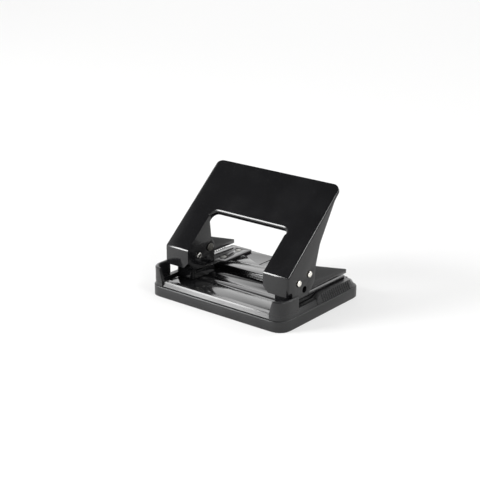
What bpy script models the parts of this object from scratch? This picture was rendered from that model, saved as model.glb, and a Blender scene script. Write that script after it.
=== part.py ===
"""Two-hole paper punch of folded sheet metal on a plastic chip tray, in metres, +Z up.

The origin is on the table under the middle of the base. -Y is the front, where the hand
presses, and paper enters over the rear deck. Each leg of the handle turns on a pivot rivet
and carries a drive pin, which pushes that side's punch down through the die plate.
"""

import math

import bmesh
import bpy
from mathutils import Matrix, Vector

# Fits
fit_gap = 0.0003
running_gap = 0.0002
overrun = 0.002
overlap = 0.0006

# Punched holes
hole_spacing = 0.080
hole_diameter = 0.0055
hole_margin = 0.012
hole_y = -0.0095

# Chip tray
tray_width = 0.1085
tray_depth = 0.0858
tray_corner = 0.009
tray_wall = 0.0016
tray_floor = 0.0015
skirt_height = 0.0070
ledge_inset = 0.0014
ledge_rise = 0.0003
rim_inset = 0.0030
rim_height = 0.0103
rim_width = 0.0036
rear_rim_width = 0.0020
post_height = 0.0193
post_inset = 0.0008
post_wall = 0.0024
post_crown = 0.0007
post_side_length = 0.0176
post_front_length = 0.0080
post_slant = 0.0030
grip_front_y = 0.0010
grip_length = 0.0330
grip_ramp = 0.0055
grip_height = 0.0125
grip_shoulder_inset = 0.0034
grip_shoulder_drop = 0.0004
grip_knee_inset = 0.0021
grip_knee_height = 0.0094
grip_foot_inset = 0.0011
rib_pitch = 0.0022
rib_width = 0.0011
rib_proud = 0.00035

# Base plate
plate_sheet = 0.0010
plate_bend = 0.0016
front_deck_height = 0.0087
rear_deck_height = 0.0125
riser_y = 0.0039
riser_lean = 0.0004
tongue_half_width = 0.0105
tongue_length = 0.0200
slit_width = 0.0008
chip_hole_radius = 0.0040

# Handle
handle_sheet = 0.0012
handle_bend = 0.0022
handle_fold = 0.0014
leg_width = 0.0192
leg_gap = 0.0608
handle_bend_y = -0.0312
handle_bend_z = 0.0314
handle_tilt = math.radians(40.5)
handle_length = 0.0709
handle_corner = 0.0055
window_height = 0.0326
window_corner = 0.0045
window_lip = 0.0036
flap_height = 0.0124
flap_chamfer = 0.0038
flange_top_depth = 0.0004
flange_edge_shares = [(0.858, 0.026), (0.60, 0.108), (0.471, 0.148)]
flange_round = 0.0120
waist_behind_drive = 0.0067
waist_above_drive = 0.0045
belly_behind_drive = 0.0055
belly_below_pivot = 0.0032
flange_below_pivot = 0.0097
flange_toe_run = 0.0036
flange_heel_run = 0.0005
flange_corner = 0.0050
inner_fold_share = 0.80
inner_waist_behind_drive = 0.0016
inner_waist_above_drive = 0.0070
ear_behind_drive = 0.0046
ear_above_drive = 0.0012
ear_below_pivot = 0.0033
ear_ahead_drive = 0.0026
inner_toe_run = 0.0045
inner_heel_run = 0.0060
inner_below_pivot = 0.0086

# Brackets
bracket_sheet = 0.0012
bracket_bend = 0.0024
bracket_side_gap = 0.0013
bracket_front_height = 0.0290
bracket_top_height = 0.0336
bracket_shoulder_run = 0.0100
bracket_rear_y = 0.0347
bracket_rear_height = 0.0181
bracket_inner_run = 0.0075
bracket_foot_run = 0.0085
bracket_round = 0.0014

# Die plates, paper slots and guide plates
die_sheet = 0.0012
die_inner_step = 0.0029
die_rear_y = 0.0345
die_corner = 0.0020
die_clearance = 0.0001
slot_height = 0.0015
guide_sheet = 0.0010
guide_lift = 0.0009
guide_back_run = 0.0075
guide_tab_width = 0.0032
guide_tab_lead = 0.0003
guide_tab_y = -0.0165

# Pivot rivets, drive pins and washers
pivot_forward = 0.0109
pivot_height = 0.0252
pin_radius = 0.00175
drive_rise = 0.0030
drive_shift = 0.00041
drive_travel = 0.0047
dome_radius = 0.0021
dome_height = 0.0011
flat_head_radius = 0.00275
flat_head_height = 0.0006
rolled_ring_radius = 0.0021
rolled_ring_height = 0.0007
rolled_bore_radius = 0.0010
rolled_bore_depth = 0.0022
open_hole_radius = 0.0019
open_hole_ahead = 0.0050
open_hole_below_pivot = 0.0054
washer_radius = 0.0034
washer_gap = 0.0003

# Punches and springs
punch_tip_lift = 0.0004
punch_hollow = 0.0012
hub_radius = 0.0040
hub_wall = 0.0010
hub_chamfer = 0.0005
spring_wire = 0.0005
spring_turns = 3.5
spring_side_gap = 0.0005
curl_points = 10

# Foot rivets
rivet_radius = 0.0013
rivet_head_radius = 0.0022
rivet_head_height = 0.0006
front_rivet_run = 0.0056
rear_rivet_inset = 0.0065
rear_rivet_first_y = 0.0120
rear_rivet_second_y = 0.0285

# Facets
arc_steps = 5
hole_steps = 20
turn_steps = 24

leg_x = hole_spacing / 2
pivot_y = hole_y - pivot_forward
drive_z = pivot_height + drive_rise
deck_inset = rim_inset + rim_width + fit_gap
deck_half_width = tray_width / 2 - deck_inset
deck_front_y = -tray_depth / 2 + deck_inset
deck_rear_y = tray_depth / 2 - rim_inset - rear_rim_width - fit_gap
leg_inner_x = leg_gap / 2
leg_outer_x = leg_inner_x + leg_width
bracket_inner_x = leg_inner_x + handle_sheet + bracket_side_gap
bracket_outer_x = leg_outer_x - handle_sheet - bracket_side_gap
die_bottom = rear_deck_height + fit_gap
die_top = die_bottom + die_sheet
slot_top = die_top + slot_height
guide_bottom = slot_top + guide_lift
guide_top = guide_bottom + guide_sheet
throat_y = hole_y - hole_margin
bracket_front_y = throat_y - guide_sheet - fit_gap - bracket_sheet
bracket_bottom = front_deck_height + fit_gap
hub_bottom = drive_z - pin_radius - running_gap - hub_wall
hub_top = drive_z + pin_radius + running_gap + hub_wall


def clear_scene():
    for obj in list(bpy.data.objects):
        bpy.data.objects.remove(obj, do_unlink=True)


def new_collection(name, hidden=False):
    collection = bpy.data.collections.new(name)
    bpy.context.scene.collection.children.link(collection)
    collection.hide_render = hidden
    return collection


clear_scene()
parts = new_collection("two_hole_punch")
helpers = new_collection("cutters", hidden=True)


def make_material(name, colour, roughness, metallic):
    material = bpy.data.materials.new(name)
    material.use_nodes = True
    shader = material.node_tree.nodes["Principled BSDF"]
    shader.inputs["Base Color"].default_value = (*colour, 1)
    shader.inputs["Roughness"].default_value = roughness
    shader.inputs["Metallic"].default_value = metallic
    material.diffuse_color = (*colour, 1)
    return material


finishes = {
    "black_enamel": ((0.012, 0.012, 0.013), 0.16, 0.0),
    "black_plastic": ((0.022, 0.023, 0.024), 0.38, 0.0),
    "bright_steel": ((0.72, 0.70, 0.66), 0.24, 1.0),
    "dull_steel": ((0.42, 0.42, 0.40), 0.42, 1.0),
    "spring_steel": ((0.50, 0.50, 0.50), 0.30, 1.0),
}


def finish(obj, name, material_kind):
    """Names a sub-part, gives it a material of its own and puts it among the parts."""
    obj.name = name
    obj.data.name = name
    colour, roughness, metallic = finishes[material_kind]
    obj.data.materials.clear()
    obj.data.materials.append(make_material(f"{name}_{material_kind}", colour, roughness, metallic))
    for collection in list(obj.users_collection):
        collection.objects.unlink(obj)
    parts.objects.link(obj)
    obj.hide_render = False
    obj.display_type = "TEXTURED"
    return obj


def helper(name, mesh):
    """An object for a Boolean, which isn't a part itself."""
    obj = bpy.data.objects.new(name, mesh)
    helpers.objects.link(obj)
    obj.hide_render = True
    obj.display_type = "WIRE"
    return obj


def from_bmesh(name, shape):
    bmesh.ops.recalc_face_normals(shape, faces=shape.faces)
    mesh = bpy.data.meshes.new(name)
    shape.to_mesh(mesh)
    shape.free()
    return helper(name, mesh)


def box(name, low, high):
    shape = bmesh.new()
    bmesh.ops.create_cube(shape, size=1)
    size = [b - a for a, b in zip(low, high)]
    middle = [(a + b) / 2 for a, b in zip(low, high)]
    bmesh.ops.scale(shape, vec=size, verts=shape.verts)
    bmesh.ops.translate(shape, vec=middle, verts=shape.verts)
    return from_bmesh(name, shape)


def rounded(corners, radii, steps=arc_steps):
    """The corners of an outline, each cut off by an arc of its own radius."""
    points = []
    count = len(corners)
    for i, radius in enumerate(radii):
        here = Vector(corners[i])
        before = (Vector(corners[i - 1]) - here)
        after = (Vector(corners[(i + 1) % count]) - here)
        if not radius:
            points.append(tuple(here))
            continue
        half = before.angle(after) / 2
        reach = radius / math.tan(half)
        centre = here + (before.normalized() + after.normalized()).normalized() * radius / math.sin(half)
        start = here + before.normalized() * reach - centre
        end = here + after.normalized() * reach - centre
        turn = start.angle_signed(end)
        for k in range(steps + 1):
            points.append(tuple(centre + Matrix.Rotation(-turn * k / steps, 2) @ start))
    return points


def circle(x, y, radius, steps=hole_steps):
    angles = [math.tau * k / steps for k in range(steps)]
    return [(x + radius * math.cos(a), y + radius * math.sin(a)) for a in angles]


def slot_loop(x, y, half_x, half_y, radius):
    corners = [(x - half_x, y - half_y), (x + half_x, y - half_y), (x + half_x, y + half_y), (x - half_x, y + half_y)]
    return rounded(corners, [radius] * 4)


def plate(name, loops, thickness, matrix):
    """A flat outline with its holes, extruded to both sides of its plane and made a mesh."""
    curve = bpy.data.curves.new(name, "CURVE")
    curve.dimensions = "2D"
    curve.fill_mode = "BOTH"
    curve.extrude = thickness / 2
    for loop in loops:
        spline = curve.splines.new("POLY")
        spline.points.add(len(loop) - 1)
        for point, (x, y) in zip(spline.points, loop):
            point.co = (x, y, 0, 1)
        spline.use_cyclic_u = True
    drawn = bpy.data.objects.new(name, curve)
    helpers.objects.link(drawn)
    drawn.matrix_world = matrix
    bpy.context.view_layer.update()
    graph = bpy.context.evaluated_depsgraph_get()
    mesh = bpy.data.meshes.new_from_object(drawn.evaluated_get(graph))
    shape = bmesh.new()
    shape.from_mesh(mesh)
    bmesh.ops.remove_doubles(shape, verts=shape.verts, dist=fit_gap / 100)
    bmesh.ops.recalc_face_normals(shape, faces=shape.faces)
    bmesh.ops.transform(shape, matrix=matrix, verts=shape.verts)
    shape.to_mesh(mesh)
    shape.free()
    bpy.data.objects.remove(drawn, do_unlink=True)
    return helper(name, mesh)


def side_plate(name, loops, x, thickness):
    """A plate drawn in (y, z) and standing with its middle at x."""
    axes = Matrix(((0, 0, 1, x), (1, 0, 0, 0), (0, 1, 0, 0), (0, 0, 0, 1)))
    return plate(name, loops, thickness, axes)


def side_prism(name, loops, low_x, high_x):
    return side_plate(name, loops, (low_x + high_x) / 2, high_x - low_x)


def flat_prism(name, loops, low_z, high_z):
    return plate(name, loops, high_z - low_z, Matrix.Translation((0, 0, (low_z + high_z) / 2)))


def front_prism(name, loops, low_y, high_y):
    """A plate drawn in (x, z) and spanning low_y to high_y."""
    middle = (low_y + high_y) / 2
    axes = Matrix(((1, 0, 0, 0), (0, 0, -1, middle), (0, 1, 0, 0), (0, 0, 0, 1)))
    return plate(name, loops, high_y - low_y, axes)


def turned(name, profile, centre, axis="Z", steps=turn_steps):
    """A profile of (radius, height), outer side from top to bottom, turned by a Screw."""
    mesh = bpy.data.meshes.new(name)
    points = [(radius, 0, height) for radius, height in profile]
    mesh.from_pydata(points, [(i, i + 1) for i in range(len(points) - 1)], [])
    obj = helper(name, mesh)
    screw = obj.modifiers.new("turn", "SCREW")
    screw.axis = "Z"
    screw.steps = steps
    screw.render_steps = steps
    screw.use_merge_vertices = True
    screw.merge_threshold = fit_gap / 100
    screw.use_smooth_shade = True
    obj.location = centre
    if axis == "X":
        obj.rotation_euler = (0, math.pi / 2, 0)
    return obj


def boolean(obj, other, operation):
    step = obj.modifiers.new(f"{operation.lower()}_{other.name}", "BOOLEAN")
    step.operation = operation
    step.solver = "EXACT"
    step.object = other
    return obj


def join(obj, *others):
    for other in others:
        boolean(obj, other, "UNION")
    return obj


def cut(obj, *others):
    for other in others:
        boolean(obj, other, "DIFFERENCE")
    return obj


def seat_on(obj, parent, origin):
    """Puts a part's origin at a point and hangs it under its parent, without moving it."""
    if obj.matrix_world.is_identity:
        obj.data.transform(Matrix.Translation(-Vector(origin)))
        obj.location = origin
    bpy.context.view_layer.update()
    obj.parent = parent
    obj.matrix_parent_inverse = parent.matrix_world.inverted()
    return obj


def empty(name, location, parent=None):
    obj = bpy.data.objects.new(name, None)
    parts.objects.link(obj)
    obj.location = location
    bpy.context.view_layer.update()
    if parent:
        obj.parent = parent
        obj.matrix_parent_inverse = parent.matrix_world.inverted()
        bpy.context.view_layer.update()
    return obj


def tray_ring(inset, rear_inset):
    """The tray's rounded outline, drawn in by inset, and by rear_inset at the back."""
    x = tray_width / 2 - inset
    front = -tray_depth / 2 + inset
    rear = tray_depth / 2 - rear_inset
    radius = max(tray_corner - inset, tray_wall)
    return rounded([(-x, front), (x, front), (x, rear), (-x, rear)], [radius] * 4)


def swept_ring(name, section):
    """A closed section of (inset, rear inset, height) swept round the tray's outline."""
    shape = bmesh.new()
    rings = []
    for inset, rear_inset, height in section:
        rings.append([shape.verts.new((x, y, height)) for x, y in tray_ring(inset, rear_inset)])
    for lower, upper in zip(rings, rings[1:] + rings[:1]):
        count = len(lower)
        for i in range(count):
            after = (i + 1) % count
            shape.faces.new((lower[i], lower[after], upper[after], upper[i]))
    return from_bmesh(name, shape)


def tray_wall_ring():
    """Skirt, ledge, sloping band, rim and inner wall, with a channel open from below."""
    narrower = rim_width - rear_rim_width
    rim_inner = rim_inset + rim_width
    channel_inner = rim_inner - tray_wall
    channel_top = rim_height - tray_wall
    band_run = rim_inset - ledge_inset
    return swept_ring("tray_walls", [
        (0, 0, 0),
        (0, 0, skirt_height),
        (ledge_inset, ledge_inset, skirt_height + ledge_rise),
        (rim_inset, rim_inset, rim_height),
        (rim_inner, rim_inner - narrower, rim_height),
        (rim_inner, rim_inner - narrower, 0),
        (channel_inner, channel_inner - narrower, 0),
        (channel_inner, channel_inner - narrower, channel_top),
        (tray_wall + band_run, tray_wall + band_run / 2, channel_top),
        (tray_wall, tray_wall, skirt_height - tray_wall),
        (tray_wall, tray_wall, 0),
    ])


def tray_posts():
    """The two tall walls that wrap the front corners."""
    inner = post_inset + post_wall
    root = skirt_height - tray_wall / 2
    ring = swept_ring("posts", [
        (post_inset, post_inset, root),
        (post_inset, post_inset, post_height - post_crown),
        (post_inset + post_crown, post_inset + post_crown, post_height),
        (inner - post_crown, inner - post_crown, post_height),
        (inner, inner, post_height - post_crown),
        (inner, inner, root),
    ])
    inward_x = tray_width / 2 - post_front_length
    low_x = inward_x - post_slant
    top = post_height + overrun
    bottom = root - overrun
    between = [(-inward_x, top), (-low_x, rim_height), (-low_x, bottom), (low_x, bottom), (low_x, rim_height),
               (inward_x, top)]
    rear = -tray_depth / 2 + post_side_length
    side = tray_width / 2 + overrun
    cut(ring, front_prism("post_gap", [between], -tray_depth, tray_depth))
    return cut(ring, box("post_rear", (-side, rear, bottom), (side, tray_depth / 2 + overrun, top)))


def grip_section(proud):
    """The grip's outline in (x, z), its outer faces set out by proud."""
    half = tray_width / 2
    inner = half - rim_inset - rim_width
    root = skirt_height - tray_wall / 2
    return [
        (inner, root),
        (inner, grip_height),
        (half - grip_shoulder_inset + proud / 2, grip_height - grip_shoulder_drop + proud),
        (half - grip_knee_inset + proud, grip_knee_height + proud / 2),
        (half - grip_foot_inset + proud, skirt_height + ledge_rise),
        (half - grip_foot_inset + proud, root),
    ]


def mirrored(points):
    return [(-x, y) for x, y in reversed(points)]


def tray_grip(side):
    """One ribbed grip with its ramp up from the rim."""
    place = mirrored if side < 0 else list
    front = grip_front_y - grip_ramp
    rear = grip_front_y + grip_length
    hump = front_prism(f"grip_{side}", [place(grip_section(0))], front, rear)
    top = grip_height + overrun
    slope = [(front - overrun, top), (front - overrun, rim_height - fit_gap), (front, rim_height - fit_gap),
             (grip_front_y, grip_height), (grip_front_y, top)]
    cut(hump, side_prism(f"grip_ramp_{side}", [slope], -tray_width, tray_width))
    count = int((grip_length - rib_width) / rib_pitch)
    inner = tray_width / 2 - grip_shoulder_inset
    rib_outline = [(inner, skirt_height)] + grip_section(rib_proud)[2:5]
    for i in range(count):
        start = grip_front_y + rib_width / 2 + i * rib_pitch
        join(hump, front_prism(f"rib_{side}_{i}", [place(rib_outline)], start, start + rib_width))
    return hump


def chip_tray():
    tray = tray_wall_ring()
    inset = rim_inset + rim_width - tray_wall / 2
    rear_inset = inset - rim_width + rear_rim_width
    join(tray, flat_prism("tray_floor", [tray_ring(inset, rear_inset)], 0, tray_floor))
    join(tray, tray_posts())
    for side in (-1, 1):
        join(tray, tray_grip(side))
    return finish(tray, "chip_tray", "black_plastic")


def folded_shell(name, outer, inner, half_width, sheet):
    """A channel: the outer profile's prism, hollowed by the inner one between its side walls."""
    shell = side_prism(name, [outer], -half_width, half_width)
    return cut(shell, side_prism(f"{name}_hollow", [inner], -half_width + sheet, half_width - sheet))


def deck_profile(inset, bottom):
    """The base plate's profile in (y, z), drawn in by inset on its upper side."""
    bend = max(plate_bend - inset, plate_sheet / 2)
    inside = plate_bend - plate_sheet + inset
    corners = [
        (deck_front_y + inset, bottom),
        (deck_front_y + inset, front_deck_height - inset),
        (riser_y - riser_lean + inset, front_deck_height - inset),
        (riser_y + inset, rear_deck_height - inset),
        (deck_rear_y - inset, rear_deck_height - inset),
        (deck_rear_y - inset, bottom),
    ]
    return rounded(corners, [0, bend, inside / 2, bend / 2, bend, 0])


def base_plate():
    """Front deck, riser and rear deck with edges folded down on to the tray floor."""
    bottom = tray_floor + fit_gap
    outer = deck_profile(0, bottom)
    inner = deck_profile(plate_sheet, bottom - overrun)
    base = folded_shell("deck", outer, inner, deck_half_width, plate_sheet)
    top = rear_deck_height + overrun
    skin = fit_gap / 10
    around = tray_ring(-overrun, -overrun)
    within = tray_ring(deck_inset - skin, deck_inset - skin - rim_width + rear_rim_width)
    cut(base, flat_prism("deck_corners", [around, within], bottom - overrun, top))
    slit_low = rear_deck_height - plate_bend - plate_sheet
    for side in (-1, 1):
        x = side * tongue_half_width
        cut(base, box(f"slit_{side}", (x - slit_width / 2, deck_rear_y - tongue_length, slit_low),
                      (x + slit_width / 2, deck_rear_y + overrun, top)))
        holes = [circle(side * leg_x, hole_y, chip_hole_radius)]
        holes += [circle(x, y, rivet_radius + fit_gap) for x, y in rivet_places(side)]
        for i, hole in enumerate(holes):
            cut(base, flat_prism(f"deck_hole_{side}_{i}", [hole], front_deck_height - plate_sheet - overrun, top))
    return finish(base, "base_plate", "black_enamel")


def rivet_places(side):
    """Where each bracket and die plate is riveted down: one at the front, two behind."""
    rear_x = leg_x - leg_width / 2 + rear_rivet_inset
    return [
        (side * leg_x, bracket_front_y + front_rivet_run),
        (side * rear_x, rear_rivet_first_y),
        (side * rear_x, rear_rivet_second_y),
    ]


def plan_channel(side):
    """The bracket seen from above: two side walls joined by the front wall, corners rounded."""
    low = bracket_inner_x
    high = bracket_outer_x
    front = bracket_front_y
    rear = bracket_rear_y
    wall = bracket_sheet
    inside = bracket_bend - bracket_sheet
    corners = [
        (low, front), (high, front), (high, rear), (high - wall, rear), (high - wall, front + wall),
        (low + wall, front + wall), (low + wall, rear), (low, rear),
    ]
    loop = rounded(corners, [bracket_bend, bracket_bend, 0, 0, inside, inside, 0, 0])
    return loop if side > 0 else mirrored(loop)


def wall_slot():
    """The upright slot in both side walls for the drive pin's travel."""
    half_height = drive_travel / 2 + pin_radius + fit_gap
    half_width = drive_shift / 2 + pin_radius + fit_gap
    middle_y = hole_y + drive_shift / 2
    return slot_loop(middle_y, drive_z - drive_travel / 2, half_width, half_height, half_width * 0.98)


def bracket(side, name):
    """A folded housing: front wall, short inner wall and a long outer wall above the paper slot."""
    body = flat_prism(f"{name}_walls", [plan_channel(side)], bracket_bottom, bracket_top_height)
    above = bracket_top_height + overrun
    behind = bracket_rear_y + overrun
    ahead = bracket_front_y - overrun
    shoulder_y = bracket_front_y + bracket_shoulder_run
    slope = [
        (ahead, above), (ahead, bracket_front_height), (bracket_front_y, bracket_front_height),
        (shoulder_y, bracket_top_height), (hole_y, bracket_top_height), (bracket_rear_y, bracket_rear_height),
        (behind, bracket_rear_height), (behind, above),
    ]
    slope = rounded(slope, [0, 0, bracket_round, bracket_round, bracket_round, bracket_round, 0, 0])
    wall_end = riser_y - riser_lean - plate_bend / 2
    paper = [
        (throat_y, die_bottom - fit_gap), (wall_end, die_bottom - fit_gap), (wall_end, bracket_bottom - overrun),
        (behind, bracket_bottom - overrun), (behind, slot_top), (throat_y, slot_top),
    ]
    inner_end = hole_y + bracket_inner_run
    short = [
        (inner_end, bracket_bottom - overrun), (behind, bracket_bottom - overrun), (behind, above),
        (inner_end - bracket_inner_run / 2, above), (inner_end, bracket_front_height),
    ]
    across = (bracket_inner_x - overrun, bracket_outer_x + overrun)
    if side < 0:
        across = (-across[1], -across[0])
    cut(body, side_prism(f"{name}_top", [slope], *across))
    cut(body, side_prism(f"{name}_paper", [paper], *across))
    short_x = sorted((side * across_x for across_x in (bracket_inner_x - overrun, leg_x)))
    cut(body, side_prism(f"{name}_short", [short], *short_x))
    tab = guide_tab_width / 2 + fit_gap
    window = slot_loop(guide_tab_y, (guide_bottom + guide_top) / 2, tab, guide_sheet / 2 + fit_gap, fit_gap)
    for hole_name, loop in (
        ("pivot", circle(pivot_y, pivot_height, pin_radius + fit_gap)),
        ("drive", wall_slot()),
        ("tab", window),
    ):
        cut(body, side_prism(f"{name}_{hole_name}", [loop], *across))
    foot_low = bracket_inner_x + bracket_sheet + fit_gap
    foot_high = bracket_outer_x - bracket_sheet - fit_gap
    foot_front = bracket_front_y + bracket_sheet - overlap
    foot_rear = bracket_front_y + bracket_foot_run
    foot = [(foot_low, foot_front), (foot_high, foot_front), (foot_high, foot_rear), (foot_low, foot_rear)]
    foot = rounded(foot, [0, 0, bracket_bend, bracket_bend])
    rivet_x, rivet_y = rivet_places(1)[0]
    loops = [foot, circle(rivet_x, rivet_y, rivet_radius + fit_gap)]
    if side < 0:
        loops = [mirrored(loop) for loop in loops]
    join(body, flat_prism(f"{name}_foot", loops, bracket_bottom, bracket_bottom + bracket_sheet))
    return finish(body, name, "black_enamel")


def die_plate(side, name):
    """The bracket's lower plate: wide on the rear deck, an arm under the punch at the front."""
    low = bracket_inner_x
    high = bracket_outer_x
    corners = [
        (low, throat_y + fit_gap), (high, throat_y + fit_gap), (high, die_rear_y), (low - die_inner_step, die_rear_y),
        (low - die_inner_step, riser_y + die_corner), (low, riser_y),
    ]
    outline = rounded(corners, [die_corner, die_corner, die_corner, die_corner / 2, fit_gap, fit_gap])
    loops = [outline, circle(leg_x, hole_y, hole_diameter / 2 + die_clearance + fit_gap)]
    rear_rivets = rivet_places(1)[1:]
    loops += [circle(x, y, rivet_radius + fit_gap) for x, y in rear_rivets]
    sinks = [circle(x, y, rivet_head_radius + fit_gap) for x, y in rear_rivets]
    if side < 0:
        loops = [mirrored(loop) for loop in loops]
        sinks = [mirrored(loop) for loop in sinks]
    body = flat_prism(f"{name}_blank", loops, die_bottom, die_top)
    for i, sink in enumerate(sinks):
        low_z = die_top - rivet_head_height - fit_gap
        cut(body, flat_prism(f"{name}_sink_{i}", [sink], low_z, die_top + overrun))
    return finish(body, name, "black_enamel")


def guide_plate(side, name):
    """Leads the punch, and its front lip is the stop that the paper's edge meets."""
    low = bracket_inner_x + bracket_sheet + fit_gap
    high = bracket_outer_x - bracket_sheet - fit_gap
    front = throat_y - guide_sheet
    rear = hole_y + guide_back_run
    tab_low = bracket_inner_x + fit_gap
    tab_high = bracket_outer_x - fit_gap
    tab_front = guide_tab_y - guide_tab_width / 2
    tab_rear = guide_tab_y + guide_tab_width / 2
    outline = [
        (low, front), (high, front), (high, tab_front), (tab_high, tab_front + guide_tab_lead),
        (tab_high, tab_rear - guide_tab_lead), (high, tab_rear), (high, rear), (low, rear), (low, tab_rear),
        (tab_low, tab_rear - guide_tab_lead), (tab_low, tab_front + guide_tab_lead), (low, tab_front),
    ]
    corner = bracket_bend - bracket_sheet
    outline = rounded(outline, [corner, corner] + [0] * (len(outline) - 2))
    loops = [outline, circle(leg_x, hole_y, hole_diameter / 2 + fit_gap)]
    if side < 0:
        loops = [mirrored(loop) for loop in loops]
    body = flat_prism(f"{name}_blank", loops, guide_bottom, guide_top)
    skin = guide_sheet / 10
    across = sorted((side * (low + corner + skin), side * (high - corner - skin)))
    lip = box(f"{name}_lip", (across[0], front + skin, die_top + fit_gap), (across[1], throat_y, guide_top - skin))
    join(body, lip)
    return finish(body, name, "bright_steel")


def plate_point(along, inward=0):
    """A point (y, z) of the handle: along its sloping plate from the bend, and in under it."""
    y = handle_bend_y + along * math.cos(handle_tilt) + inward * math.sin(handle_tilt)
    z = handle_bend_z + along * math.sin(handle_tilt) - inward * math.cos(handle_tilt)
    return y, z


def handle_profile(inset):
    """Flap, bend, sloping plate and the outer flange's free edge, in (y, z)."""
    bend = handle_bend - inset
    lean = math.tan((math.pi / 2 - handle_tilt) / 2)
    bottom = handle_bend_z - flap_height
    corners = [((handle_bend_y + inset, handle_bend_z - inset * lean), bend)]
    if inset:
        corners.insert(0, ((handle_bend_y + inset, bottom - flange_below_pivot), 0))
        corners.append((plate_point(handle_length + overrun, inset), 0))
        corners.append((plate_point(handle_length + overrun, handle_length), 0))
        return rounded([point for point, _ in corners], [radius for _, radius in corners])
    corners.insert(0, ((handle_bend_y, bottom), 0))
    corners.append((plate_point(handle_length), 0))
    corners.append((plate_point(handle_length, handle_sheet + flange_top_depth), 0))
    for along_share, inward_share in flange_edge_shares:
        corners.append((plate_point(along_share * handle_length, inward_share * handle_length), flange_round))
    low = pivot_height - flange_below_pivot
    corners += [
        ((hole_y + waist_behind_drive, drive_z + waist_above_drive), flange_round / 2),
        ((hole_y + belly_behind_drive, pivot_height - belly_below_pivot), flange_corner),
        ((hole_y - flange_heel_run, low), flange_corner),
        ((pivot_y - flange_toe_run, low), flange_corner / 2),
    ]
    return rounded([point for point, _ in corners], [radius for _, radius in corners])


def inner_flange_outline():
    """The inner flange in (y, z): from the flap up the fold, down behind the drive pin and back."""
    middle = handle_sheet / 2
    lean = math.tan((math.pi / 2 - handle_tilt) / 2)
    fold_end = inner_fold_share * window_height
    low = pivot_height - inner_below_pivot
    corners = [
        ((handle_bend_y + middle, handle_bend_z - flap_height + flap_chamfer), 0),
        ((handle_bend_y + middle, handle_bend_z - middle * lean), handle_bend - middle),
        (plate_point(fold_end, middle), 0),
        (plate_point(fold_end, window_lip), 0),
        ((hole_y + inner_waist_behind_drive, drive_z + inner_waist_above_drive), flange_corner),
        ((hole_y + ear_behind_drive, drive_z + ear_above_drive), flange_corner / 2),
        ((hole_y - ear_ahead_drive, pivot_height - ear_below_pivot), flange_corner),
        ((hole_y - inner_heel_run, low), flange_corner / 2),
        ((pivot_y - inner_toe_run, low), flange_corner),
    ]
    return rounded([point for point, _ in corners], [radius for _, radius in corners])


def on_plate(name, loops, inward_low, inward_high):
    """A plate drawn in (x, along the handle's plate), standing inward_low to inward_high under it."""
    middle = (inward_low + inward_high) / 2
    y, z = plate_point(0, middle)
    cosine = math.cos(handle_tilt)
    sine = math.sin(handle_tilt)
    axes = Matrix(((1, 0, 0, 0), (0, cosine, -sine, y), (0, sine, cosine, z), (0, 0, 0, 1)))
    return plate(name, loops, inward_high - inward_low, axes)


def rounded_folds(prism):
    """Rounds the long folds between the plate and its outer flanges."""
    shape = bmesh.new()
    shape.from_mesh(prism.data)
    bmesh.ops.dissolve_limit(shape, angle_limit=math.radians(1), verts=shape.verts, edges=shape.edges)
    up = Vector((0, -math.sin(handle_tilt), math.cos(handle_tilt)))
    ahead = Vector((0, -1, 0))
    folds = []
    for edge in shape.edges:
        sides = [face for face in edge.link_faces if abs(face.normal.x) < 0.5]
        if len(sides) == 1 and min(sides[0].normal.dot(up), sides[0].normal.dot(ahead)) > 0.3:
            folds.append(edge)
    bmesh.ops.bevel(shape, geom=folds, offset=handle_fold, segments=3, profile=0.5, affect="EDGES")
    bmesh.ops.remove_doubles(shape, verts=shape.verts, dist=fit_gap / 100)
    bmesh.ops.triangulate(shape, faces=shape.faces)
    shape.to_mesh(prism.data)
    shape.free()
    return prism


def window_outline(margin, low):
    half = leg_inner_x + margin
    top = window_height + margin
    return rounded([(-half, low), (half, low), (half, top), (-half, top)],
                   [0, 0, window_corner + margin, window_corner + margin])


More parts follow.
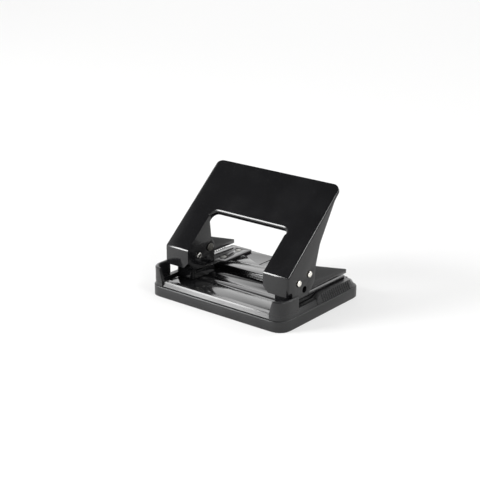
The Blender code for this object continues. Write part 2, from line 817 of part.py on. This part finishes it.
def handle():
    """One folded sheet: plate with a window, two legs with flaps and flanges, and a turned-in lip."""
    body = side_prism("handle_blank", [handle_profile(0)], -leg_outer_x, leg_outer_x)
    rounded_folds(body)
    inside = leg_outer_x - handle_sheet
    cut(body, side_prism("handle_hollow", [handle_profile(handle_sheet)], -inside, inside))
    edge_x = leg_outer_x + fit_gap / 10
    edge = handle_length + fit_gap / 10
    for side in (-1, 1):
        arc = rounded([(edge_x, edge - handle_corner * 2), (edge_x, edge), (edge_x - handle_corner * 2, edge)],
                      [0, handle_corner, 0])
        trim = arc[1:-1] + [(arc[-2][0], edge + overrun), (edge_x + overrun, edge + overrun),
                            (edge_x + overrun, arc[1][1])]
        trim = [(side * x, along) for x, along in trim]
        cut(body, on_plate(f"handle_corner_{side}", [trim], -overrun, handle_corner))
    cut(body, on_plate("handle_window", [window_outline(0, -window_height)], -leg_gap / 2, leg_gap))
    bottom = handle_bend_z - flap_height
    for side in (-1, 1):
        corner = [(side * (leg_inner_x - overrun), bottom - overrun),
                  (side * (leg_inner_x + flap_chamfer + overrun), bottom - overrun),
                  (side * (leg_inner_x - overrun), bottom + flap_chamfer + overrun)]
        cut(body, front_prism(f"flap_corner_{side}", [corner], handle_bend_y - overrun, handle_bend_y + handle_bend))
        across = sorted((side * leg_inner_x, side * (leg_inner_x + handle_sheet)))
        join(body, side_prism(f"inner_flange_{side}", [inner_flange_outline()], *across))
    fold_end = inner_fold_share * window_height
    skin = fit_gap / 10
    arch = window_outline(handle_sheet - skin, fold_end)
    opening = window_outline(skin, fold_end)
    band = arch[1:] + arch[:1] + opening[:1] + opening[:0:-1]
    join(body, on_plate("window_lip", [band], handle_sheet / 2, window_lip))
    holes = {
        "pivot": (pivot_y, pivot_height, pin_radius),
        "drive": (hole_y, drive_z, pin_radius),
        "open": (hole_y - open_hole_ahead, pivot_height - open_hole_below_pivot, open_hole_radius),
    }
    for side in (-1, 1):
        across = sorted((side * (leg_inner_x - overrun), side * (leg_outer_x + overrun)))
        for name, (y, z, radius) in holes.items():
            cut(body, side_prism(f"handle_{name}_{side}", [circle(y, z, radius + fit_gap)], *across))
    return finish(body, "handle", "black_enamel")


def facing_out(obj, side, x, y, z):
    """Stands a turned piece on its side with its top outwards."""
    obj.location = (side * x, y, z)
    obj.rotation_euler = (0, side * math.pi / 2, 0)
    return obj


def dome(radius, height, base, steps=4):
    """The (radius, height) points of a domed head, from its crown down to its edge."""
    points = [(0, base + height)]
    for k in range(1, steps + 1):
        angle = math.pi / 2 * k / steps
        points.append((radius * math.sin(angle), base + height * math.cos(angle)))
    return points


def pivot_rivet(side, name):
    """Domed outside, and rolled over a hollow end inside."""
    middle = leg_x
    out = leg_outer_x + fit_gap - middle
    back = leg_inner_x - fit_gap - middle
    end = back - rolled_ring_height
    profile = dome(dome_radius, dome_height, out)
    profile += [(pin_radius, out), (pin_radius, back), (rolled_ring_radius, back),
                (rolled_ring_radius, back - rolled_ring_height / 2),
                (rolled_ring_radius - rolled_ring_height / 2, end), (rolled_bore_radius, end),
                (rolled_bore_radius, end + rolled_bore_depth), (0, end + rolled_bore_depth)]
    rivet = turned(name, profile, (0, 0, 0))
    return finish(facing_out(rivet, side, middle, pivot_y, pivot_height), name, "bright_steel")


def drive_pin(side, name):
    """Domed outside, and a flat turned head inside."""
    middle = leg_x
    out = leg_outer_x + fit_gap - middle
    back = leg_inner_x - fit_gap - middle
    end = back - flat_head_height
    edge = flat_head_height / 3
    profile = dome(dome_radius, dome_height, out)
    profile += [(pin_radius, out), (pin_radius, back), (flat_head_radius, back), (flat_head_radius, end + edge),
                (flat_head_radius - edge, end), (0, end)]
    pin = turned(name, profile, (0, 0, 0))
    return finish(facing_out(pin, side, middle, hole_y, drive_z), name, "bright_steel")


def pivot_washer(side, x, name):
    """Keeps one of the handle's flanges off the bracket's wall."""
    loops = [circle(pivot_y, pivot_height, washer_radius), circle(pivot_y, pivot_height, pin_radius + fit_gap)]
    return finish(side_plate(name, loops, side * x, bracket_side_gap - washer_gap * 2), name, "dull_steel")


def punch(side, name):
    """A ground pin with a hub, a cross slot for the drive pin and a hollow cutting end."""
    radius = hole_diameter / 2
    tip = slot_top + punch_tip_lift
    profile = [(0, hub_top), (hub_radius - hub_chamfer, hub_top), (hub_radius, hub_top - hub_chamfer),
               (hub_radius, hub_bottom), (radius, hub_bottom), (radius, tip)]
    for k in range(1, 4):
        share = k / 3
        profile.append((radius * (1 - share), tip + punch_hollow * math.sin(share * math.pi / 2)))
    body = turned(name, profile, (side * leg_x, hole_y, 0))
    half_height = pin_radius + running_gap
    half_width = drive_shift / 2 + pin_radius + running_gap
    loop = slot_loop(hole_y + drive_shift / 2, drive_z, half_width, half_height, half_height * 0.98)
    across = sorted((side * (leg_x - hub_radius - overrun), side * (leg_x + hub_radius + overrun)))
    cut(body, side_prism(f"{name}_slot", [loop], *across))
    return finish(body, name, "bright_steel")


def spring_path():
    """Points along the coil, with one straight wire diameter at each end."""
    radius = hole_diameter / 2 + spring_side_gap + spring_wire / 2
    low = guide_top + fit_gap + spring_wire / 2
    high = hub_bottom - fit_gap - spring_wire / 2
    steps = int(spring_turns * curl_points)
    coil = []
    for k in range(steps + 1):
        angle = math.tau * spring_turns * k / steps
        coil.append(Vector((radius * math.cos(angle), radius * math.sin(angle), low + (high - low) * k / steps)))
    start = coil[0] + Vector((0, -spring_wire, 0))
    along = Vector((-math.sin(math.tau * spring_turns), math.cos(math.tau * spring_turns), 0))
    return [start] + coil + [coil[-1] + along * spring_wire]


def least_gap(points):
    """The least gap between stretches of the wire that lie half a curl or more apart."""
    apart = curl_points // 2
    gaps = [(a - b).length for i, a in enumerate(points) for b in points[i + apart:]]
    return min(gaps) - spring_wire


def return_spring(side, name):
    points = spring_path()
    curve = bpy.data.curves.new(name, "CURVE")
    curve.dimensions = "3D"
    curve.bevel_depth = spring_wire / 2
    curve.bevel_resolution = 1
    curve.use_fill_caps = True
    spline = curve.splines.new("POLY")
    spline.points.add(len(points) - 1)
    for target, point in zip(spline.points, points):
        target.co = (*point, 1)
    obj = bpy.data.objects.new(name, curve)
    helpers.objects.link(obj)
    obj.location = (side * leg_x, hole_y, 0)
    print(f"{name}: least gap between its curls {least_gap(points) * 1000:.2f} mm")
    return finish(obj, name, "spring_steel")


def foot_rivet(place, deck, top, name):
    """A flat-headed rivet from under a deck to the top of what it holds down."""
    under = deck - plate_sheet - fit_gap
    profile = [(0, top), (rivet_head_radius, top), (rivet_head_radius, top - rivet_head_height),
               (rivet_radius, top - rivet_head_height), (rivet_radius, under), (rivet_head_radius, under),
               (rivet_head_radius, under - rivet_head_height), (0, under - rivet_head_height)]
    return finish(turned(name, profile, (*place, 0), steps=hole_steps), name, "dull_steel")


def foot_rivets(side, word):
    """One through the bracket's foot, and two flush in the die plate."""
    foot_top = bracket_bottom + bracket_sheet + fit_gap + rivet_head_height
    seats = [("front", front_deck_height, foot_top), ("middle", rear_deck_height, die_top),
             ("rear", rear_deck_height, die_top)]
    return [foot_rivet(place, deck, top, f"{word}_foot_rivet_{where}")
            for place, (where, deck, top) in zip(rivet_places(side), seats)]


def smooth(obj):
    """Shades a part smooth, with its folds and rims kept sharp."""
    if obj.type != "MESH":
        return
    obj.data.shade_smooth()
    obj.data.set_sharp_from_angle(angle=math.radians(35))


def build():
    frame_seat = empty("frame_seat", (0, 0, bracket_bottom))
    handle_hinge = empty("handle_hinge", (0, pivot_y, pivot_height), frame_seat)
    chip_tray()
    fixed = [base_plate()]
    turning = [handle()]
    for side, word in ((-1, "left"), (1, "right")):
        fixed += [
            bracket(side, f"{word}_bracket"),
            die_plate(side, f"{word}_die_plate"),
            guide_plate(side, f"{word}_guide_plate"),
            pivot_rivet(side, f"{word}_pivot_rivet"),
            pivot_washer(side, bracket_inner_x - bracket_side_gap / 2, f"{word}_inner_washer"),
            pivot_washer(side, bracket_outer_x + bracket_side_gap / 2, f"{word}_outer_washer"),
            *foot_rivets(side, word),
            return_spring(side, f"{word}_return_spring"),
        ]
        turning.append(drive_pin(side, f"{word}_drive_pin"))
        slide = empty(f"{word}_punch_slide", (side * leg_x, hole_y, slot_top + punch_tip_lift), frame_seat)
        seat_on(punch(side, f"{word}_punch"), slide, (0, 0, 0))
    for obj in fixed:
        seat_on(obj, frame_seat, (0, 0, 0))
    for obj in turning:
        seat_on(obj, handle_hinge, handle_hinge.matrix_world.translation)
    for obj in parts.objects:
        smooth(obj)


build()
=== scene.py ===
"""Finishes, softened edges, light and camera for the two-hole punch, in metres."""

import math

import bpy
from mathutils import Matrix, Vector

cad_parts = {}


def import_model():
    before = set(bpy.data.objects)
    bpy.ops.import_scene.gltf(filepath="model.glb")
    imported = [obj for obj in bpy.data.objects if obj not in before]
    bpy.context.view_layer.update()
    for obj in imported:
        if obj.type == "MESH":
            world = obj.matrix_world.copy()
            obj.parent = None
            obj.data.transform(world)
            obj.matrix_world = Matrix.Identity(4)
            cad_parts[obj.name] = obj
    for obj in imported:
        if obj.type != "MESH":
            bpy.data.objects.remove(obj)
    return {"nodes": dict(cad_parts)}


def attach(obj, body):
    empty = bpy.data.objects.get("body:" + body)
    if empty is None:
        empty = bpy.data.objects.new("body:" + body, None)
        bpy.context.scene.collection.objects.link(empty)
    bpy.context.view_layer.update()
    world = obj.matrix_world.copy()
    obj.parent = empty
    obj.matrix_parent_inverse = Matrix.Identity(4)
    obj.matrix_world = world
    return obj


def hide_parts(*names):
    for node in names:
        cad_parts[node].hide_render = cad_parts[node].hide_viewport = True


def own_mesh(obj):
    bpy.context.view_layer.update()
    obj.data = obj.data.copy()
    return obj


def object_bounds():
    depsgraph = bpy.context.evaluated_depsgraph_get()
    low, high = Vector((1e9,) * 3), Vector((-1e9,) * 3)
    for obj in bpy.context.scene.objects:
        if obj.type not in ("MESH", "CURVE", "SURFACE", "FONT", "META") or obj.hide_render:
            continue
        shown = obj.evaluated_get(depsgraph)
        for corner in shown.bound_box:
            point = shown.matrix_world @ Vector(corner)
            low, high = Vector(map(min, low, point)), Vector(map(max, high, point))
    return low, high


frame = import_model()
cad_low, cad_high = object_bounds()

# The photograph's camera, in metres, degrees and millimetres
CAMERA_AZIMUTH = 38.866
CAMERA_ELEVATION = 19.228
CAMERA_PLACE = (0.4472, -0.5707, 0.2899)
FOCAL_PIXELS = 1198.3
PHOTO_PIXELS = 480
SENSOR_WIDTH = 36

# How a copy's triangles are joined, and which of its edges count as sharp
MERGE = 1e-6
STEP_MERGE = 4e-5
FLAT_ANGLE = math.radians(1.5)
EDGE_ANGLE = math.radians(32)
SMOOTH_ANGLE = math.radians(38)

# Fine edge radii
HANDLE_EDGE = 0.00020
ENAMEL_EDGE = 0.00018
PLASTIC_EDGE = 0.00018
GUIDE_EDGE = 0.00012
PUNCH_EDGE = 0.00012
RIVET_EDGE = 0.00010
WIRE_EDGE = 0.00002

# The handle's plate leans back from its bend, and its window's top edge is a full fold
HANDLE_TILT = math.radians(40.5)
HANDLE_BEND = Vector((0, -0.0312, 0.0314))
PLATE_OUT = Vector((0, -math.sin(HANDLE_TILT), math.cos(HANDLE_TILT)))
PLATE_UP = Vector((0, math.cos(HANDLE_TILT), math.sin(HANDLE_TILT)))
LEG_INNER = 0.0304
WINDOW_FOLD_FOOT = 0.0279
WINDOW_FOLD = 0.0019
ON_SKIN = 3e-5
FACES_OUT = 0.98
TURNS_IN = 0.2

# The tray's rounded edges: the band of heights that holds each, and its radius
RIM_BAND = (0.0102, 0.0104)
RIM_ROUND = 0.0006
SKIRT_BAND = (0.0069, 0.0071)
SKIRT_ROUND = 0.0005
BOTTOM_ROUND = 0.0007
FACES_UP = 0.9
OUTSIDE_SHARE = 0.97
ON_TABLE = 1e-4

# The floor, and how much of its own glow the camera and the gloss see
FLOOR_SIZE = 12
FLOOR_HEIGHT = -0.0002
FLOOR_GLOW = 0.93
SEEN_GLOW = 0.55
MIRRORED_GLOW = 0.20

# The soft lights: place, size and power in watts, all aimed a little above the table
AIM = Vector((0, 0, 0.03))
PANELS = {
    "bend_panel": ((-1.04, -1.24, 0.64), (0.70, 0.95), 48),
    "deck_panel": ((-1.06, 1.32, 0.62), (1.30, 0.80), 3.8),
    "back_panel": ((0.7, 1.3, 1.7), (1.2, 1.2), 16),
    "right_panel": ((1.35, -0.22, 1.25), (0.5, 0.5), 12),
}


class Value:
    """A node's socket, so that shader maths can be written as an expression."""

    def __init__(self, paint, socket):
        self.paint = paint
        self.socket = socket

    def maths(self, operation, first, second):
        return self.paint.node("Math", {"operation": operation}, {0: first, 1: second})

    def __add__(self, other):
        return self.maths("ADD", self, other)

    def __radd__(self, other):
        return self.maths("ADD", other, self)

    def __sub__(self, other):
        return self.maths("SUBTRACT", self, other)

    def __rsub__(self, other):
        return self.maths("SUBTRACT", other, self)

    def __mul__(self, other):
        return self.maths("MULTIPLY", self, other)

    def __rmul__(self, other):
        return self.maths("MULTIPLY", other, self)

    def clamped(self):
        return self.paint.node("Clamp", {}, {0: self})


class Paint:
    """The nodes of one material or of the world, and the few shapes that they are made of."""

    def __init__(self, owner, shader="Principled BSDF"):
        owner.use_nodes = True
        self.owner = owner
        self.tree = owner.node_tree
        self.shader = self.tree.nodes[shader]

    def node(self, kind, settings, inputs, output=0):
        """A new node of a kind, its settings set first, then its input values or links."""
        made = self.tree.nodes.new(f"ShaderNode{kind}")
        for key, setting in settings.items():
            setattr(made, key, setting)
        for key, value in inputs.items():
            self.feed(made.inputs[key], value)
        return Value(self, made.outputs[output])

    def feed(self, socket, value):
        if isinstance(value, Value):
            self.tree.links.new(value.socket, socket)
        else:
            socket.default_value = value

    def set(self, inputs):
        for name, value in inputs.items():
            self.feed(self.shader.inputs[name], value)

    def place(self, stretch=(1, 1, 1)):
        """The piece's own place in metres, stretched along its axes."""
        here = self.node("TexCoord", {}, {}, "Object")
        return self.node("Mapping", {}, {"Vector": here, "Scale": stretch})

    def along(self, axis):
        return self.node("SeparateXYZ", {}, {"Vector": self.place()}, axis)

    def noise(self, scale, detail, roughness, stretch=(1, 1, 1)):
        return self.node("TexNoise", {}, {"Vector": self.place(stretch), "Scale": scale,
                                          "Detail": detail, "Roughness": roughness})

    def ramp(self, value, low, high):
        """0 below low, 1 above high, and straight between them."""
        return self.node("MapRange", {}, {"Value": value, "From Min": low, "From Max": high})

    def mix(self, mask, first, second):
        return self.node("Mix", {"data_type": "RGBA"}, {"Factor": mask, "A": first, "B": second}, "Result")

    def tint(self, mask, plain, marked):
        return self.mix(mask, (*plain, 1), (*marked, 1))

    def bump(self, height, strength, distance):
        shape = {"Strength": strength, "Distance": distance, "Height": height}
        self.set({"Normal": self.node("Bump", {}, shape)})


def new_paint(name):
    return Paint(bpy.data.materials.new(name))


def black_enamel():
    """Stoved gloss enamel: deep black, a faint orange peel, and rubbed patches a little duller."""
    paint = new_paint("black_enamel")
    rubbed = paint.ramp(paint.noise(scale=38, detail=4, roughness=0.6), low=0.46, high=0.72)
    specks = paint.ramp(paint.noise(scale=2600, detail=2, roughness=0.5), low=0.66, high=0.76)
    hairlines = paint.noise(scale=620, detail=3, roughness=0.55, stretch=(1, 0.06, 0.06))
    scratches = paint.ramp(hairlines, low=0.66, high=0.74)
    marks = (specks * 0.5 + rubbed * 0.25).clamped()
    coarse = paint.noise(scale=520, detail=1, roughness=0.4)
    fine = paint.noise(scale=1500, detail=1, roughness=0.4)
    paint.set({
        "Base Color": paint.tint(marks, plain=(0.0045, 0.0045, 0.005), marked=(0.016, 0.016, 0.017)),
        "Roughness": 0.13 + rubbed * 0.05 + specks * 0.08 + scratches * 0.05,
        "IOR": 1.46,
    })
    paint.bump(coarse + fine * 0.35, strength=0.05, distance=0.00025)
    return paint.owner


def black_plastic():
    """Moulded plastic: satin, with a fine mould grain, handling marks and a smoother rim."""
    paint = new_paint("black_plastic")
    grain = paint.noise(scale=3800, detail=2, roughness=0.6)
    height = paint.along("Z")
    rim = paint.ramp(height, low=0.0092, high=0.0096) * (1 - paint.ramp(height, low=0.0104, high=0.0108))
    clouds = paint.ramp(paint.noise(scale=46, detail=4, roughness=0.6), low=0.42, high=0.72)
    rubs = paint.noise(scale=900, detail=3, roughness=0.6, stretch=(0.1, 1, 1))
    scuffs = paint.ramp(rubs, low=0.66, high=0.78)
    marks = (clouds * 0.6 + scuffs * 0.4).clamped()
    satin = 0.30 + clouds * 0.07 + scuffs * 0.10 + grain * 0.05
    paint.set({
        "Base Color": paint.tint(marks, plain=(0.007, 0.007, 0.0075), marked=(0.017, 0.0175, 0.018)),
        "Roughness": satin * (1 - rim * 0.45),
        "IOR": 1.44,
    })
    paint.bump(grain + clouds * 0.3, strength=0.09, distance=0.00012)
    return paint.owner


def plated_steel(name, bright, tarnished, roughness, grain_stretch=(1, 0.12, 0.12)):
    """Plated steel: fine drawn or turned lines, and tarnish in soft patches."""
    paint = new_paint(name)
    patches = paint.ramp(paint.noise(scale=420, detail=4, roughness=0.6), low=0.38, high=0.68)
    lines = paint.noise(scale=5200, detail=2, roughness=0.6, stretch=grain_stretch)
    paint.set({
        "Base Color": paint.tint(patches, plain=bright, marked=tarnished),
        "Metallic": 1.0,
        "Roughness": roughness + patches * 0.08 + lines * 0.10,
    })
    paint.bump(lines, strength=0.12, distance=0.00006)
    return paint.owner


def headed_steel(name, inside, inside_roughness):
    """Plated steel that is bright on the outer, domed head and duller inside the legs."""
    paint = new_paint(name)
    from_middle = paint.node("Math", {"operation": "ABSOLUTE"}, {0: paint.along("X")})
    outer = paint.ramp(from_middle, low=0.032, high=0.046)
    spots = paint.ramp(paint.noise(scale=1500, detail=4, roughness=0.6), low=0.40, high=0.62)
    worn = paint.tint(spots, plain=inside, marked=[channel * 0.45 for channel in inside])
    nickel = paint.tint(spots, plain=(0.86, 0.84, 0.78), marked=(0.70, 0.68, 0.63))
    grain = paint.noise(scale=5200, detail=2, roughness=0.6)
    paint.set({
        "Base Color": paint.mix(outer, worn, nickel),
        "Metallic": 1.0,
        "Roughness": inside_roughness * (1 - outer) + outer * 0.16 + spots * 0.06,
    })
    paint.bump(spots + grain * 0.3, strength=0.10, distance=0.00006)
    return paint.owner


FINISHES = {
    "black_enamel": black_enamel(),
    "black_plastic": black_plastic(),
    "bright_steel": plated_steel("bright_steel", (0.86, 0.84, 0.79), (0.66, 0.65, 0.61), 0.16),
    "dull_steel": plated_steel("dull_steel", (0.36, 0.355, 0.335), (0.22, 0.22, 0.205), 0.34),
    "rivet_steel": headed_steel("rivet_steel", (0.62, 0.61, 0.58), 0.20),
    "pin_steel": headed_steel("pin_steel", (0.17, 0.165, 0.15), 0.42),
    "spring_steel": plated_steel("spring_steel", (0.55, 0.55, 0.54), (0.36, 0.36, 0.35), 0.28,
                                 grain_stretch=(0.12, 1, 1)),
}


def only(piece):
    """Selects one piece and makes it active."""
    bpy.ops.object.select_all(action="DESELECT")
    piece.select_set(True)
    bpy.context.view_layer.objects.active = piece


def copy_of(node, merge):
    """A merged copy of a CAD node's mesh as a new piece, its flat triangles joined."""
    piece = bpy.data.objects.new(f"{node}_finished", frame["nodes"][node].data.copy())
    bpy.context.scene.collection.objects.link(piece)
    only(piece)
    if piece.data.has_custom_normals:
        bpy.ops.mesh.customdata_custom_splitnormals_clear()
    bpy.ops.object.mode_set(mode="EDIT")
    bpy.ops.mesh.select_all(action="SELECT")
    bpy.ops.mesh.remove_doubles(threshold=merge)
    bpy.ops.mesh.dissolve_limited(angle_limit=FLAT_ANGLE)
    bpy.ops.object.mode_set(mode="OBJECT")
    return piece


def round_off(piece, width, segments, chosen, held):
    """Rounds the sharp edges that a test of their ends and their faces' normals picks."""
    only(piece)
    mesh = piece.data
    normals = {}
    for face in mesh.polygons:
        for key in face.edge_keys:
            normals.setdefault(key, []).append(face.normal.copy())
    marks = mesh.attributes.new("bevel_weight_edge", "FLOAT", "EDGE")
    for edge in mesh.edges:
        faces = normals.get(tuple(sorted(edge.vertices)), [])
        ends = [mesh.vertices[i].co for i in edge.vertices]
        sharp = len(faces) == 2 and faces[0].angle(faces[1], 0) > EDGE_ANGLE
        marks.data[edge.index].value = float(sharp and chosen(ends, faces))
    bevel = piece.modifiers.new("edge", "BEVEL")
    bevel.width = width
    bevel.segments = segments
    bevel.limit_method = "WEIGHT"
    bevel.use_clamp_overlap = held
    bpy.ops.object.modifier_apply(modifier="edge")
    mesh.attributes.remove(mesh.attributes["bevel_weight_edge"])


def every_edge(ends, faces):
    """Picks whatever is sharp."""
    return True


def window_top(ends, faces):
    """Picks the fold along the top and round the upper corners of the handle's window."""
    turns = [abs(normal.dot(PLATE_OUT)) for normal in faces]
    on_skin = all(abs((end - HANDLE_BEND).dot(PLATE_OUT)) < ON_SKIN for end in ends)
    between_legs = max(abs(end.x) for end in ends) < LEG_INNER + ON_SKIN
    high = min((end - HANDLE_BEND).dot(PLATE_UP) for end in ends) > WINDOW_FOLD_FOOT
    folded = max(normal.dot(PLATE_OUT) for normal in faces) > FACES_OUT and min(turns) < TURNS_IN
    return on_skin and between_legs and high and folded


def level_edge(band):
    """A test that picks the edges of an upward face within a band of heights."""
    def chosen(ends, faces):
        low, high = band
        heights = [end.z for end in ends]
        return low < min(heights) and max(heights) < high and max(normal.z for normal in faces) > FACES_UP
    return chosen


def bottom_edge(ends, faces):
    """Picks the tray's outside edge on the table."""
    half = (cad_high - cad_low) / 2
    reach = min(max(abs(end.x) / half.x, abs(end.y) / half.y) for end in ends)
    return reach > OUTSIDE_SHARE and max(end.z for end in ends) < ON_TABLE


def dress(node, body, finish, fine, rounds=(), segments=2, merge=MERGE, held=True):
    """Replaces a CAD node with a copy whose edges are rounded as the real piece's are."""
    piece = copy_of(node, merge)
    for chosen, radius in rounds:
        round_off(piece, radius, segments, chosen, held)
    round_off(piece, fine, segments, every_edge, held=True)
    bpy.ops.object.shade_smooth_by_angle(angle=SMOOTH_ANGLE)
    piece.data.materials.clear()
    piece.data.materials.append(FINISHES[finish])
    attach(piece, body)
    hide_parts(node)
    return piece


def punch_pieces():
    dress("handle", "handle", "black_enamel", HANDLE_EDGE, [(window_top, WINDOW_FOLD)], segments=4,
          merge=STEP_MERGE, held=False)
    tray_rounds = [(bottom_edge, BOTTOM_ROUND), (level_edge(SKIRT_BAND), SKIRT_ROUND),
                   (level_edge(RIM_BAND), RIM_ROUND)]
    dress("chip_tray", "tray", "black_plastic", PLASTIC_EDGE, tray_rounds, segments=3)
    dress("base_plate", "frame", "black_enamel", ENAMEL_EDGE)
    for side in ("left", "right"):
        for kind in ("bracket", "die_plate"):
            dress(f"{side}_{kind}", "frame", "black_enamel", ENAMEL_EDGE)
        dress(f"{side}_guide_plate", "frame", "bright_steel", GUIDE_EDGE)
        for kind in ("inner_washer", "outer_washer", "foot_rivet_front", "foot_rivet_middle",
                     "foot_rivet_rear"):
            dress(f"{side}_{kind}", "frame", "dull_steel", RIVET_EDGE)
        dress(f"{side}_pivot_rivet", "frame", "rivet_steel", RIVET_EDGE, segments=3)
        dress(f"{side}_drive_pin", "handle", "pin_steel", RIVET_EDGE, segments=3)
        dress(f"{side}_punch", f"{side}_punch", "bright_steel", PUNCH_EDGE)
        spring = dress(f"{side}_return_spring", "frame", "spring_steel", WIRE_EDGE)
        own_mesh(spring)


def floor():
    """A plain pale floor, seen near white and still holding the shadow."""
    bpy.ops.mesh.primitive_plane_add(size=FLOOR_SIZE, location=(0, 0, FLOOR_HEIGHT))
    plane = bpy.context.object
    plane.name = "floor"
    paint = new_paint("floor_paper")
    paint.set({"Base Color": (0.86, 0.86, 0.855, 1), "Roughness": 0.75})
    seen, mirrored, through = [paint.node("LightPath", {}, {}, f"Is {ray} Ray")
                               for ray in ("Camera", "Glossy", "Transmission")]
    share = (seen * SEEN_GLOW + mirrored * MIRRORED_GLOW + through * SEEN_GLOW).clamped()
    glow = paint.node("Emission", {}, {"Color": (1, 1, 1, 1), "Strength": FLOOR_GLOW})
    lit = Value(paint, paint.shader.outputs[0])
    surface = paint.node("MixShader", {}, {0: share, 1: lit, 2: glow})
    paint.feed(paint.tree.nodes["Material Output"].inputs["Surface"], surface)
    plane.data.materials.append(paint.owner)


def world():
    """Bright round the horizon and dim overhead, as in a white tent under a dark roof."""
    tent = bpy.data.worlds.new("tent")
    bpy.context.scene.world = tent
    paint = Paint(tent, "Background")
    direction = paint.node("TexCoord", {}, {}, "Generated")
    rise = paint.node("SeparateXYZ", {}, {0: direction}, "Z")
    strength = paint.node("MapRange", {"interpolation_type": "SMOOTHSTEP"},
                          {"Value": rise, "From Min": 0.50, "From Max": 0.72, "To Min": 0.95, "To Max": 0.10})
    paint.set({"Color": (1, 1, 1, 1), "Strength": strength})


def panel(name, place, size, power):
    """A soft square light that faces the punch."""
    light = bpy.data.lights.new(name, "AREA")
    light.shape = "RECTANGLE"
    light.size, light.size_y = size
    light.energy = power
    stand = bpy.data.objects.new(name, light)
    bpy.context.scene.collection.objects.link(stand)
    stand.location = place
    stand.rotation_euler = (AIM - Vector(place)).to_track_quat("-Z", "Y").to_euler()


def camera():
    lens = bpy.data.cameras.new("camera")
    lens.sensor_width = SENSOR_WIDTH
    lens.sensor_height = SENSOR_WIDTH
    lens.sensor_fit = "HORIZONTAL"
    lens.lens = FOCAL_PIXELS / PHOTO_PIXELS * SENSOR_WIDTH
    stand = bpy.data.objects.new("camera", lens)
    bpy.context.scene.collection.objects.link(stand)
    stand.location = CAMERA_PLACE
    stand.rotation_euler = (math.radians(90 - CAMERA_ELEVATION), 0, math.radians(CAMERA_AZIMUTH))
    bpy.context.scene.camera = stand


punch_pieces()
floor()
world()
for title, (place, size, power) in PANELS.items():
    panel(title, place, size, power)
camera()
bpy.context.scene.view_settings.view_transform = "Standard"
